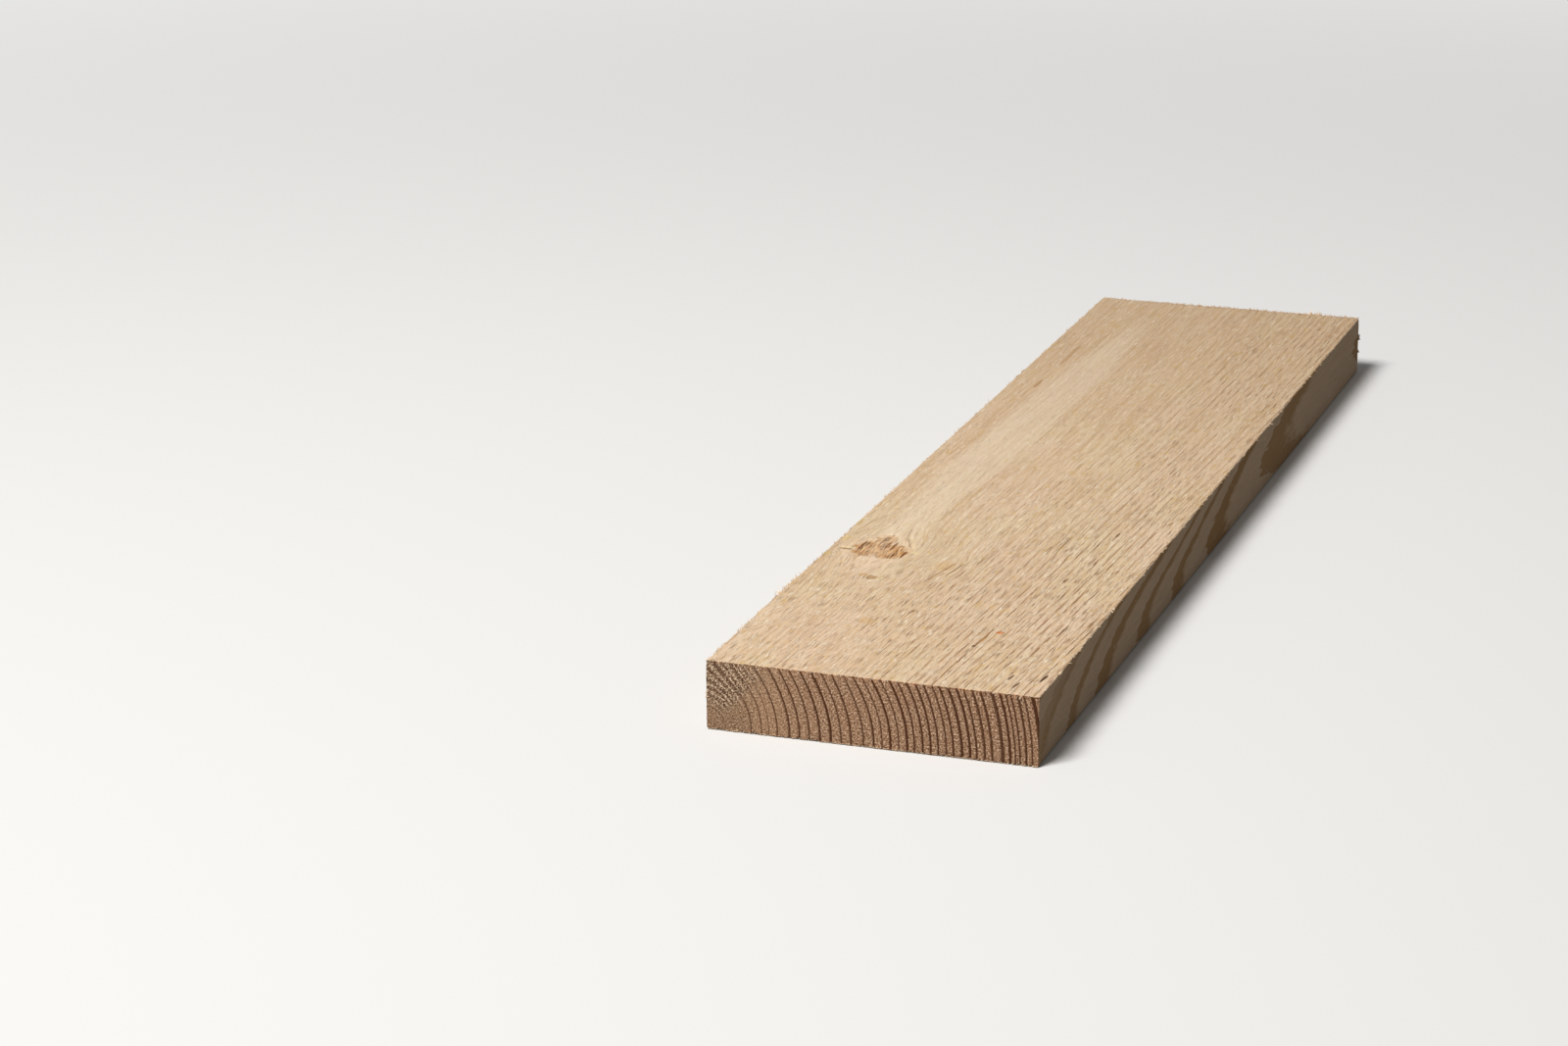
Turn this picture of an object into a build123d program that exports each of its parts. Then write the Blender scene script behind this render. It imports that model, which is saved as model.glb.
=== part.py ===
"""Softwood trim board: one piece of stock, sawn on its face and planed on its back and two edges.

Millimetres. +Y runs along the grain, from the near end to the far end, +X runs across the width and
+Z up through the thickness. The origin is the middle of the planed back, on which the board lies.
"""

import os

from build123d import *

# Driving dimensions
BOARD_LENGTH = 390.0  # between the two crosscut ends
BOARD_WIDTH = 89.0  # dressed width of a nominal 4 inch board
BOARD_THICKNESS = 19.0  # dressed thickness of a nominal 1 inch board
SAWN_ARRIS = 0.4  # break along the two long edges of the sawn face
PLANED_ARRIS = 0.8  # radius that the planer leaves on the two long edges of the back


def section():
    """The board's section across the grain, on the XZ plane, standing on its back."""
    with BuildSketch(Plane.XZ) as sketch:
        Rectangle(BOARD_WIDTH, BOARD_THICKNESS, align=(Align.CENTER, Align.MIN))
        back_corners = sketch.vertices().group_by(Axis.Y)[0]
        fillet(back_corners, radius=PLANED_ARRIS)
        face_corners = sketch.vertices().group_by(Axis.Y)[-1]
        chamfer(face_corners, length=SAWN_ARRIS)
    return sketch.sketch


def board():
    """The section run along the grain and docked square at both ends."""
    with BuildPart() as part:
        extrude(section(), amount=BOARD_LENGTH / 2, both=True)
    part.part.label = "board"
    return part.part


os.makedirs("parts", exist_ok=True)
export_step(board(), "parts/board.step")
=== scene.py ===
"""Looks of the softwood trim board: sawn face, planed edges and back, crosscut ends and the fibres they tore.

Lengths in the wood functions are millimetres from the board's near bottom left corner: x across the width,
y along the grain and z up from the back. What goes into Blender is in metres, in the frame's own axes.
"""

import math
from collections import namedtuple

import bpy
import numpy as np
from mathutils import Matrix, Vector


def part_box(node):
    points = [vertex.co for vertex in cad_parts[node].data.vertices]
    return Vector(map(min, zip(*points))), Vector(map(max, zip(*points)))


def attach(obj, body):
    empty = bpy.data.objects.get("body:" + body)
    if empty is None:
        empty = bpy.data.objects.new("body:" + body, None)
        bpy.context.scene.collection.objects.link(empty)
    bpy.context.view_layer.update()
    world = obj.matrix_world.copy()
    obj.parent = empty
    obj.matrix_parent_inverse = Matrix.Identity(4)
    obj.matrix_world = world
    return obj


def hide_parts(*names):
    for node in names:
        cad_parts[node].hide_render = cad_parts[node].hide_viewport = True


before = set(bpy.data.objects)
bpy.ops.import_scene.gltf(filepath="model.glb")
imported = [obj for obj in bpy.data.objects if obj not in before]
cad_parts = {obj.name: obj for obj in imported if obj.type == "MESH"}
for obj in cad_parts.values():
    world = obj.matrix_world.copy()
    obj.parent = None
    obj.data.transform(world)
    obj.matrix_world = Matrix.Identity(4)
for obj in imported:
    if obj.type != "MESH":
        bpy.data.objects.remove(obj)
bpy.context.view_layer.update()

MM = 0.001
LOW_CORNER = np.array(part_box("board")[0]) / MM
HIGH_CORNER = np.array(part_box("board")[1]) / MM
WIDTH, LENGTH, THICKNESS = HIGH_CORNER - LOW_CORNER

# Camera, in the frame's axes
SENSOR_WIDTH = 36.0
LENS = 93.17
CLIP_START = 0.01
CAMERA_PLACE = (0.3029, -1.1145, 0.3684)
CAMERA_TURN = math.radians(19.512)  # to the left of +Y
CAMERA_DIP = math.radians(17.654)
CAMERA_ROLL = math.radians(0.418)

# Studio, in metres and watts
STUDIO_WHITE = (1.0, 0.99, 0.97, 1.0)
BACKDROP = 0.84  # how bright the background looks, where 1 is white
WORLD_LIGHT = 0.145  # strength of the even light from all round
LAMP_PLACE = (-0.45, -1.00, 1.60)
LAMP_SIZE = 0.60
LAMP_WATTS = 41.5
FLOOR_HALF = 3.0
FLOOR_NEAR = (0.70, 0.69, 0.67, 1.0)
FLOOR_BOUNCE = (0.16, 0.155, 0.15, 1.0)  # colour with which the floor lights the board
FLOOR_PALER = (-0.6, 0.9)  # y from which to which FLOOR_NEAR turns into STUDIO_WHITE
FLOOR_FADE = (0.3, 1.3)  # distances from the middle between which the floor turns into the background

# Growth of the tree that the board was cut from
PITH_X = 0.5
PITH_Z = 1.0
DRIFT_NEAR = 0.050  # how far the pith moves to +X for each mm along the near part
DRIFT_FAR = 0.023
DRIFT_END = 0.016
DRIFT_BEND = 60.0  # where along the board the drift slows
DRIFT_EASE = 265.0  # where it slows again
PITH_RISE = 0.070  # how far the pith climbs for each mm of its rise
RISE_START = 140.0
RISE_STOP = 255.0
PITH_BLEND = 20.0  # length over which the pith changes its course
RING_TAPER = 0.0034  # share of its radius that a ring gains for each mm of drift
RING_RADII = (0.0, 19.4, 45.2, 60.6, 76.8, 80.0, 84.0, 87.3, 97.8)
RING_COUNTS = (0, 8, 17, 24, 32, 33, 36, 38, 43)  # rings inside those radii
LEAN_PLACES = (0.0, 8.0, 22.0, 40.0, 66.0, 89.0)
RING_LEANS = (-6.5, -3.5, -0.6, 1.8, 1.4, 0.5)  # how far rings there run from a true circle at LEAN_HEIGHT
LEAN_HEIGHT = 17.0
LEAN_POWER = 1.8
RING_JITTER = 0.13  # of a ring's width
RING_SEED = 11
ARC_RADIUS = 12.0  # radius at which lengths round the pith are true

# Young wood that the saw tears at the ends
TORN_START = (4.0, 7.0)  # radii between which the tearing sets in
TORN_STOP = (14.0, 25.0)  # radii between which it ends
TORN_TURN = (0.55, 0.95)  # angles round the pith between which it sets in, in radians
ROW_TURN = 2.0 * math.tau  # it stands in two rows to a ring

# Knots that reach the sawn face: middle, half widths across and along, and how far they swell the rings
Knot = namedtuple("Knot", "x y across along swell")
MAIN_KNOT = Knot(14.8, 103.5, 7.8, 9.0, 5.0)
PIN_KNOT = Knot(19.3, 77.4, 1.7, 1.7, 1.2)
SIDE_KNOT = Knot(4.5, 99.3, 1.1, 1.6, 0.5)
BURIED_KNOT = Knot(35.5, 92.0, 3.4, 4.2, 1.4)
KNOTS = (MAIN_KNOT, PIN_KNOT, SIDE_KNOT, BURIED_KNOT)
KNOT_PUSH = 0.75  # share by which fibres are pushed aside at the middle of a knot
KNOT_GROWTH = (0.15, 1.1)  # least and greatest size of a knot on its way to the face, where it is 1
SWELL_FADE = (0.5, 0.32)  # how fast a knot's swelling fades, across and along
PUSH_FADE = (0.45, 0.22)  # how fast its push on the fibres fades

# Outline of the main knot on the sawn face, as ovals that overlap: middle, half widths across and along
Oval = namedtuple("Oval", "x y across along")
MAIN_OVALS = (Oval(11.2, 101.8, 4.8, 7.6), Oval(17.2, 100.4, 5.6, 6.2), Oval(13.2, 109.4, 3.2, 5.8))
KNOT_HALO = Oval(13.4, 99.0, 10.5, 16.0)

# Marks on the sawn face: middle, half widths across and along, lean in degrees to +X, colour and its share
Mark = namedtuple("Mark", "x y across along lean colour share")
STAINS = (
    Mark(17.5, 225.0, 8.5, 135.0, 2.0, (233, 215, 190), 0.32),
    Mark(30.0, 42.0, 2.6, 2.6, 0.0, (204, 166, 112), 0.50),
    Mark(35.8, 92.5, 3.2, 4.0, 0.0, (204, 166, 112), 0.35),
    Mark(65.6, 44.0, 1.1, 1.0, 0.0, (212, 122, 62), 0.80),
    Mark(63.1, 38.5, 0.40, 4.2, 0.0, (180, 124, 68), 0.75),
    Mark(1.0, 93.5, 1.5, 1.8, 0.0, (214, 184, 116), 0.60),
    Mark(4.8, 100.3, 2.6, 1.0, 0.0, (236, 214, 168), 0.45),
    Mark(1.9, 108.0, 1.2, 2.4, 0.0, (222, 190, 126), 0.50),
    Mark(0.8, 123.5, 0.9, 3.4, 0.0, (204, 172, 110), 0.55),
    Mark(21.3, 109.0, 0.60, 7.0, -21.0, (236, 214, 170), 0.40),
    Mark(24.2, 101.4, 1.2, 1.3, 0.0, (236, 212, 158), 0.50),
    Mark(22.2, 76.8, 1.5, 1.3, 0.0, (238, 216, 164), 0.45),
    Mark(16.4, 78.8, 1.5, 1.2, 0.0, (196, 156, 102), 0.60),
    Mark(8.9, 278.5, 0.7, 5.0, 0.0, (160, 116, 70), 0.60),
    Mark(9.4, 315.0, 0.8, 14.0, 0.0, (166, 122, 76), 0.50),
    Mark(86.6, 57.0, 0.6, 2.6, 0.0, (134, 94, 54), 0.65),
)
SPLITS = (
    Mark(62.2, 31.8, 0.45, 0.9, 0.0, (80, 58, 36), 0.75),
    Mark(70.3, 90.7, 0.35, 2.0, 0.0, (120, 80, 48), 0.70),
    Mark(73.6, 134.0, 0.35, 2.2, 0.0, (120, 80, 48), 0.70),
    Mark(36.9, 91.5, 0.34, 5.0, 9.0, (160, 116, 72), 0.55),
    Mark(39.2, 90.5, 0.34, 6.0, 9.0, (154, 110, 68), 0.60),
    Mark(35.4, 84.0, 0.30, 7.0, 11.0, (170, 128, 86), 0.45),
    Mark(41.8, 87.0, 0.35, 4.0, 7.0, (162, 118, 74), 0.60),
    Mark(17.8, 116.5, 0.30, 6.0, -9.0, (180, 138, 96), 0.30),
    Mark(20.3, 109.0, 0.32, 4.0, -21.0, (172, 132, 86), 0.22),
    Mark(4.9, 98.9, 2.0, 0.55, 0.0, (142, 108, 56), 0.70),
    Mark(8.3, 104.0, 0.45, 3.4, 0.0, (108, 66, 32), 0.85),
    Mark(15.0, 106.0, 0.40, 3.4, 0.0, (124, 74, 36), 0.80),
    Mark(16.9, 105.0, 0.40, 3.8, 0.0, (124, 74, 36), 0.80),
    Mark(18.7, 97.6, 0.40, 2.8, 0.0, (100, 58, 28), 0.85),
    Mark(21.5, 99.2, 0.45, 3.4, 0.0, (108, 64, 30), 0.85),
    Mark(86.3, 13.7, 0.42, 2.8, 6.0, (62, 42, 22), 0.95),
    Mark(81.0, 6.7, 0.32, 2.6, 8.0, (84, 54, 30), 0.90),
    Mark(78.1, 11.7, 0.34, 2.2, 6.0, (90, 60, 34), 0.85),
    Mark(81.0, 50.0, 0.32, 5.0, 3.0, (118, 80, 46), 0.75),
)
MARK_DEPTH = 4.0  # how far a mark reaches into the wood
RIM_LEVELS = (1.15, 0.75)  # half widths from the middle between which a mark or knot sets in

# Mesh: where the rows of vertices stand and how far apart they are there
X_PLACES = (0.0, 1.2, 4.0, 26.0, 32.0, 86.0, 88.0, 89.0)
X_GAPS = (0.2, 0.3, 0.37, 0.37, 0.58, 0.58, 0.3, 0.2)
Y_PLACES = (0.0, 2.0, 8.0, 66.0, 76.0, 116.0, 126.0, 385.0, 389.0, 390.0)
Y_GAPS = (0.3, 0.6, 1.3, 1.3, 0.78, 0.78, 1.5, 1.7, 0.6, 0.3)
Z_PLACES = (0.0, 1.0, 3.0, 16.0, 18.0, 19.0)
Z_GAPS = (0.25, 0.4, 0.62, 0.62, 0.36, 0.2)
STATION_SAMPLES = 4001
BACK_STEP = 3  # the back keeps one row in this many
TINY = 1e-9  # keeps a division by zero away

# Noise in the shape: sizes of its lumps along x, y and z, its seed and how far it moves what it is added to
Lumps = namedtuple("Lumps", "sizes seed reach")
RING_WAVES = Lumps((9.0, 60.0, 9.0), 1, 0.16)
RIDGE_BREAKS = Lumps((1.4, 24.0, 4.0), 2, 0.35)
FINE_FIBRES = Lumps((0.9, 14.0, 2.0), 3, 0.04)
BROAD_FIBRES = Lumps((1.9, 34.0, 4.0), 4, 0.05)
FACE_PITS = Lumps((0.9, 8.0, 3.0), 5, 0.10)
FACE_WAVES = Lumps((24.0, 40.0, 9.0), 6, 0.07)
KNOT_RIM = Lumps((2.2, 3.0, 9.0), 7, 0.30)
KNOT_CHIPS = Lumps((1.4, 5.0, 9.0), 8, 0.30)
KNOT_GRIT = Lumps((0.9, 1.6, 9.0), 9, 0.12)
END_GRAIN = Lumps((0.8, 9.0, 0.8), 12, 0.03)
END_PITS = Lumps((0.7, 1.2, 9.0), 13, 0.18)
PLANED_WAVES = Lumps((12.0, 30.0, 12.0), 14, 0.02)
ARRIS_WAVES = Lumps((30.0, 3.0, 30.0), 20, 0.08)
ARRIS_CHIPS = Lumps((30.0, 5.0, 30.0), 21, 0.35)
END_TOP_EDGE = Lumps((1.0, 900.0, 90.0), 22, 0.44)
END_LOW_EDGE = Lumps((1.2, 900.0, 90.0), 23, 0.30)

# Relief of the cut faces: heights in mm, and the parts of a ring or levels of noise between which it sets in
RIDGE_DEPTH = 0.11
RIDGE_RISE = (0.0, 0.25)
RIDGE_FALL = (0.72, 0.95)
FACE_PIT_LEVELS = (0.5, 0.85)
KNOT_EDGE = (0.75, 1.05)  # half widths from the middle of a knot
KNOT_STEPS = 2.5  # steps in which the chips of a knot stand, to their full reach
KNOT_SUNK = 0.15
HARD_PART = (0.6, 0.9)
END_RING = 0.04
END_SUNK = 0.05
END_PIT_LEVELS = (0.0, 0.7)
PLANED_RING = 0.025
PLANED_SUNK = 0.03

# Edges: size, loss by wear, and how far from the edge the loss reaches
SAWN_ARRIS = 0.35
PLANED_ARRIS = 0.8
END_ARRIS = 0.15
ARRIS_WEAR = 0.10
ARRIS_CHIP_LEVELS = (0.35, 0.8)
FACE_WEAR_REACH = 0.45
SIDE_WEAR_REACH = 0.5
RAGGED_REACH = 0.5
RAGGED_DROP_REACH = 0.4
FRAYED_REACH = 0.3

# Fibres lifted from the sawn face
FIBRE_SEED = 31
FUZZ_COUNT = 4200
FUZZ_SIDE_GAP = 0.5
FUZZ_END_GAP = 1.0
FUZZ_LENGTHS = (3.0, 14.0)
FUZZ_LIFT = 0.08  # mean height of a tip over its root
FUZZ_LIFTS = (0.02, 0.3)  # least and greatest
FUZZ_SPREAD = 0.02  # of the slope at which they cross the board
FUZZ_WIDTHS = (0.10, 0.21)
FUZZ_SUNK = 0.05
FUZZ_PAST_END = 0.5

# Fibres that stand out of an edge or face: its two corners, which way, how many, how long and how wide
Burr = namedtuple("Burr", "start stop out count reach width")
EDGE_INSET = 0.2
TOP = THICKNESS - EDGE_INSET
RIGHT = WIDTH - EDGE_INSET
FAR = LENGTH - EDGE_INSET
BURRS = (
    Burr((0.3, 0.3, TOP), (RIGHT, 0.3, TOP), (0.1, -1.0, -0.5), 240, 0.6, 0.30),
    Burr((0.3, FAR, TOP), (RIGHT, FAR, TOP), (0.0, 1.0, 0.1), 420, 1.3, 0.30),
    Burr((RIGHT, 0.5, TOP), (RIGHT, FAR, TOP), (0.35, 1.0, 0.1), 300, 1.6, 0.26),
    Burr((0.2, 0.5, TOP), (0.2, FAR, TOP), (-0.35, 1.0, 0.1), 300, 1.4, 0.26),
    Burr((0.5, 0.2, 0.3), (RIGHT, 0.2, 0.3), (0.0, -1.0, 0.0), 420, 0.55, 0.30),
    Burr((0.5, FAR, 0.3), (RIGHT, FAR, 0.3), (0.0, 1.0, 0.0), 200, 0.55, 0.30),
    Burr((88.8, 14.5, 18.8), (88.8, 19.5, 18.8), (0.6, -0.8, 0.0), 7, 1.5, 0.35),
    Burr((88.8, 69.0, 18.8), (88.8, 73.0, 18.8), (0.6, -0.9, 0.0), 7, 1.9, 0.35),
    Burr((88.7, 389.5, 11.0), (88.7, 389.5, 13.0), (0.8, 0.6, 0.0), 14, 1.8, 0.6),
    Burr((88.7, 389.5, 6.8), (88.7, 389.5, 8.0), (0.8, 0.6, 0.0), 10, 1.5, 0.5),
    Burr((72.0, 389.7, 18.8), (76.0, 389.7, 18.8), (0.0, 0.8, 0.5), 16, 2.2, 0.4),
    Burr((0.2, 52.0, 18.7), (0.2, 71.0, 18.7), (-0.5, 0.8, 0.1), 40, 2.4, 0.3),
    Burr((0.3, 0.3, 18.4), (2.5, 0.3, 18.8), (-0.3, -0.8, 0.5), 14, 1.2, 0.3),
    Burr((83.0, 0.3, 18.7), (86.0, 0.3, 18.7), (0.1, -0.7, -0.9), 3, 1.6, 0.3),
    Burr((0.3, 0.3, 8.4), (0.3, 0.3, 9.6), (-0.7, -0.7, 0.0), 14, 0.8, 0.5),
    Burr((88.9, 8.0, 2.0), (88.9, 380.0, 17.0), (0.25, 1.0, 0.3), 70, 2.6, 0.22),
)
ROOT_SCATTER = 0.06
WAY_SCATTER = 0.35
NORMAL_SCATTER = 0.1
LENGTH_SHARES = (0.3, 1.0)
WIDTH_SHARES = (0.6, 1.2)

# Shape of one sliver, by its length or width: three corners at the root, three at the bend and the tip
STRAND_FACES = ((0, 1, 4, 3), (1, 2, 5, 4), (2, 0, 3, 5), (3, 4, 6), (4, 5, 6), (5, 3, 6), (0, 2, 1))
STRAND_POINTS = 7
STRAND_BEND = 0.55
STRAND_SAG = 0.02
STRAND_HALF = 0.5
STRAND_HEIGHT = 0.7
STRAND_TAPER = 0.8
TONE_SEED = 37


# Repeatable noise

HASH_PRIMES = np.array((73856093, 19349663, 83492791), np.int64)
HASH_SEED_PRIME = 2971215073
HASH_MIX = np.uint64(0xFF51AFD7ED558CCD)
HASH_ROUNDS = 2
HASH_SHIFT = np.uint64(33)
HASH_LAST_SHIFT = np.uint64(29)
HASH_BITS = 24  # bits of the hash that make the value


def lattice_values(cells, seed):
    """A repeatable value from -1 to 1 for each row of whole numbers."""
    key = (cells * HASH_PRIMES).sum(axis=1) + seed * HASH_SEED_PRIME
    key = key.astype(np.uint64)
    for _ in range(HASH_ROUNDS):
        key ^= key >> HASH_SHIFT
        key *= HASH_MIX
    key ^= key >> HASH_LAST_SHIFT
    return (key >> np.uint64(64 - HASH_BITS)).astype(float) / 2.0 ** (HASH_BITS - 1) - 1.0


def noise(points, lumps):
    """Smooth noise from -1 to 1 at the points."""
    scaled = points / np.array(lumps.sizes, float)
    base = np.floor(scaled)
    part = scaled - base
    part = part * part * (3.0 - 2.0 * part)
    cells = base.astype(np.int64)
    total = np.zeros(len(points))
    for corner in np.ndindex(2, 2, 2):
        step = np.array(corner)
        weight = np.where(step, part, 1.0 - part).prod(axis=1)
        total += weight * lattice_values(cells + step, lumps.seed)
    return total


def waves(points, lumps):
    """The noise at its full reach."""
    return lumps.reach * noise(points, lumps)


def smooth_step(values, low, high):
    """0 below low, 1 above high and smooth between them."""
    share = np.clip((values - low) / (high - low), 0.0, 1.0)
    return share * share * (3.0 - 2.0 * share)


# Wood

Wood = namedtuple("Wood", "place fibre arc ring")


def past(y, start):
    """How far y is past the start, blending in smoothly."""
    return PITH_BLEND * np.logaddexp(0.0, (y - start) / PITH_BLEND)


def pith_x(y):
    """Where the pith is across the board at y."""
    slowed = (DRIFT_NEAR - DRIFT_FAR) * past(y, DRIFT_BEND)
    slowed = slowed + (DRIFT_FAR - DRIFT_END) * past(y, DRIFT_EASE)
    return PITH_X + DRIFT_NEAR * y - slowed


def pith_z(y):
    """How high the pith is in the board at y."""
    return PITH_Z + PITH_RISE * (past(y, RISE_START) - past(y, RISE_STOP))


def ring_edges():
    """Radius of the outer edge of each ring, from the pith out."""
    chance = np.random.default_rng(RING_SEED)
    counts = np.arange(RING_COUNTS[-1] + 1, dtype=float)
    counts[1:-1] += RING_JITTER * chance.uniform(-1.0, 1.0, len(counts) - 2)
    return np.interp(counts, RING_COUNTS, RING_RADII)


def ring_radius(across, height, y):
    """Radius of the ring that passes there, measured where rings are true circles."""
    taper = 1.0 - RING_TAPER * (pith_x(y) - PITH_X)
    lean = np.interp(across, LEAN_PLACES, RING_LEANS) * (np.abs(height) / LEAN_HEIGHT) ** LEAN_POWER
    return np.hypot(across, height) * taper + lean


def knot_offsets(place, knot):
    """Offsets from a knot's axis in half widths, across and along, and its half width there.

    The axis runs from the pith to the sawn face.
    """
    rise = np.clip((place[:, 2] - PITH_Z) / (THICKNESS - PITH_Z), *KNOT_GROWTH)
    root = pith_x(knot.y)
    axis_x = root + (knot.x - root) * rise
    across = (place[:, 0] - axis_x) / (knot.across * rise)
    along = (place[:, 1] - knot.y) / (knot.along * rise)
    return across, along, knot.across * rise


def knot_fade(across, along, rates):
    """1 on a knot's axis, falling to 0 away from it."""
    return np.exp(-rates[0] * across**2 - rates[1] * along**2)


def grow(place):
    """The wood at each place: its fibre, its place round the pith and its ring."""
    across = place[:, 0] - pith_x(place[:, 1])
    height = place[:, 2] - pith_z(place[:, 1])
    turn = np.arctan2(height, across) * ARC_RADIUS
    radius = ring_radius(across, height, place[:, 1])
    radius += waves(place, RING_WAVES)
    for knot in KNOTS:
        off_across, off_along, half_width = knot_offsets(place, knot)
        radius += knot.swell * knot_fade(off_across, off_along, SWELL_FADE)
        across -= KNOT_PUSH * off_across * half_width * knot_fade(off_across, off_along, PUSH_FADE)
    edges = ring_edges()
    ring = np.interp(radius, edges, np.arange(len(edges), dtype=float))
    fibre = np.column_stack((across, place[:, 1], height))
    arc = np.column_stack((radius, turn, np.zeros(len(place))))
    return Wood(place, fibre, arc, ring)


def ring_phase(wood):
    """How far through its ring each place is, from 0 to 1."""
    return wood.ring - np.floor(wood.ring)


def torn_share(wood):
    """How badly an end is torn: the young wood breaks out under the saw above the pith."""
    radius, turn, _ = wood.arc.T
    young = smooth_step(radius, *TORN_START) - smooth_step(radius, *TORN_STOP)
    return young * smooth_step(turn / ARC_RADIUS, *TORN_TURN)


# Relief of the cut faces, outwards in mm

def sawn_relief(wood):
    """Corduroy and torn pits of the sawn face, long along the grain, with chips in the knots."""
    phase = ring_phase(wood)
    ridge = smooth_step(phase, *RIDGE_RISE) - smooth_step(phase, *RIDGE_FALL)
    broken = 1.0 - RIDGE_BREAKS.reach + waves(wood.fibre, RIDGE_BREAKS)
    relief = RIDGE_DEPTH * (ridge - 1.0) * broken
    relief += waves(wood.fibre, FINE_FIBRES)
    relief += waves(wood.fibre, BROAD_FIBRES)
    relief -= FACE_PITS.reach * smooth_step(noise(wood.fibre, FACE_PITS), *FACE_PIT_LEVELS)
    relief += FACE_WAVES.reach * (noise(wood.place, FACE_WAVES) - 1.0)
    return relief + knot_relief(wood.place)


def knot_relief(place):
    """Chips torn out of the knots where they meet the sawn face."""
    rim = np.full(len(place), np.inf)
    for oval in (*MAIN_OVALS, PIN_KNOT):
        across = (place[:, 0] - oval.x) / oval.across
        along = (place[:, 1] - oval.y) / oval.along
        rim = np.minimum(rim, np.hypot(across, along))
    inside = 1.0 - smooth_step(rim + waves(place, KNOT_RIM), *KNOT_EDGE)
    chips = np.round(KNOT_STEPS * noise(place, KNOT_CHIPS)) / KNOT_STEPS
    return inside * (KNOT_CHIPS.reach * chips - KNOT_SUNK + waves(place, KNOT_GRIT))


def end_relief(wood):
    """Rings and torn earlywood of a crosscut end."""
    relief = END_RING * smooth_step(ring_phase(wood), *HARD_PART) - END_SUNK
    relief += waves(wood.place, END_GRAIN)
    pits = smooth_step(noise(wood.arc, END_PITS), *END_PIT_LEVELS)
    return relief - END_PITS.reach * torn_share(wood) * pits


def planed_relief(wood):
    """Hard bands of a planed face, which stand a little proud."""
    bands = PLANED_RING * smooth_step(ring_phase(wood), *HARD_PART)
    return bands - PLANED_SUNK + waves(wood.place, PLANED_WAVES)


# Mesh of the board

def stations(length, places, gaps):
    """Positions from 0 to length, as far apart at each place as its gap says."""
    fine = np.linspace(0.0, length, STATION_SAMPLES)
    crowding = 1.0 / np.interp(fine, places, gaps)
    steps = (crowding[1:] + crowding[:-1]) / 2.0 * np.diff(fine)
    count = np.concatenate(([0.0], np.cumsum(steps)))
    return np.interp(np.linspace(0.0, count[-1], round(count[-1]) + 1), count, fine)


def kept_rows(count):
    """The rows that the back keeps: one in BACK_STEP, with the first and the last."""
    rows = list(range(0, count - 1, BACK_STEP))
    if count - 1 - rows[-1] < BACK_STEP // 2 + 1 and len(rows) > 1:
        rows.pop()
    return rows + [count - 1]


def grid_faces(index):
    """Quads over a grid of vertex numbers, facing the way its two axes turn."""
    corners = (index[:-1, :-1], index[1:, :-1], index[1:, 1:], index[:-1, 1:])
    return np.stack(corners, axis=-1).reshape(-1, 4)


def back_faces(index):
    """Faces of the back, wider than the rest. Those at its border take in every vertex of the edges there."""
    rows, columns = kept_rows(index.shape[0]), kept_rows(index.shape[1])
    last_row, last_column = rows[-1], columns[-1]
    faces = []
    for r0, r1 in zip(rows[:-1], rows[1:]):
        for c0, c1 in zip(columns[:-1], columns[1:]):
            low_side = range(r0, r1) if c0 == 0 else (r0,)
            far_side = range(c0, c1) if r1 == last_row else (c0,)
            high_side = range(r1, r0, -1) if c1 == last_column else (r1,)
            near_side = range(c1, c0, -1) if r0 == 0 else (c1,)
            ring = [index[r, c0] for r in low_side] + [index[r1, c] for c in far_side]
            ring += [index[r, c1] for r in high_side] + [index[r0, c] for c in near_side]
            faces.append([int(v) for v in reversed(ring)])
    return faces


def board_faces(index):
    """Every face of the board, and the number of its material: sawn, planed or crosscut."""
    groups = [
        (grid_faces(index[:, :, -1]).tolist(), 0),
        (grid_faces(index[-1]).tolist(), 1),
        (grid_faces(index[0])[:, ::-1].tolist(), 1),
        (back_faces(index[:, :, 0]), 1),
        (grid_faces(index[:, 0]).tolist(), 2),
        (grid_faces(index[:, -1])[:, ::-1].tolist(), 2),
    ]
    faces = [face for group, _ in groups for face in group]
    slots = [slot for group, slot in groups for _ in group]
    return faces, slots


def board_vertices():
    """The vertex numbers on a box of grid rows, the place of each vertex and which faces it is on."""
    xs = stations(WIDTH, X_PLACES, X_GAPS)
    ys = stations(LENGTH, Y_PLACES, Y_GAPS)
    zs = stations(THICKNESS, Z_PLACES, Z_GAPS)
    shape = (len(xs), len(ys), len(zs))
    used = np.zeros(shape, bool)
    used[0], used[-1] = True, True
    used[:, 0], used[:, -1] = True, True
    used[:, :, -1] = True
    used[np.ix_(kept_rows(shape[0]), kept_rows(shape[1]), [0])] = True
    index = np.full(shape, -1, np.int64)
    index[used] = np.arange(used.sum())
    i, j, k = np.nonzero(used)
    on = {
        "left": i == 0,
        "right": i == shape[0] - 1,
        "near": j == 0,
        "far": j == shape[1] - 1,
        "back": k == 0,
        "face": k == shape[2] - 1,
    }
    return index, np.column_stack((xs[i], ys[j], zs[k])), on


def round_section(place):
    """The places with the four long edges of the section broken or rounded."""
    radius = np.where(place[:, 2] > THICKNESS / 2.0, SAWN_ARRIS, PLANED_ARRIS)
    inner_x = np.clip(place[:, 0], radius, WIDTH - radius)
    inner_z = np.clip(place[:, 2], radius, THICKNESS - radius)
    off_x = place[:, 0] - inner_x
    off_z = place[:, 2] - inner_z
    reach = np.hypot(off_x, off_z)
    share = np.where(reach > radius, radius / np.maximum(reach, TINY), 1.0)
    return np.column_stack((inner_x + off_x * share, place[:, 1], inner_z + off_z * share))


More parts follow.
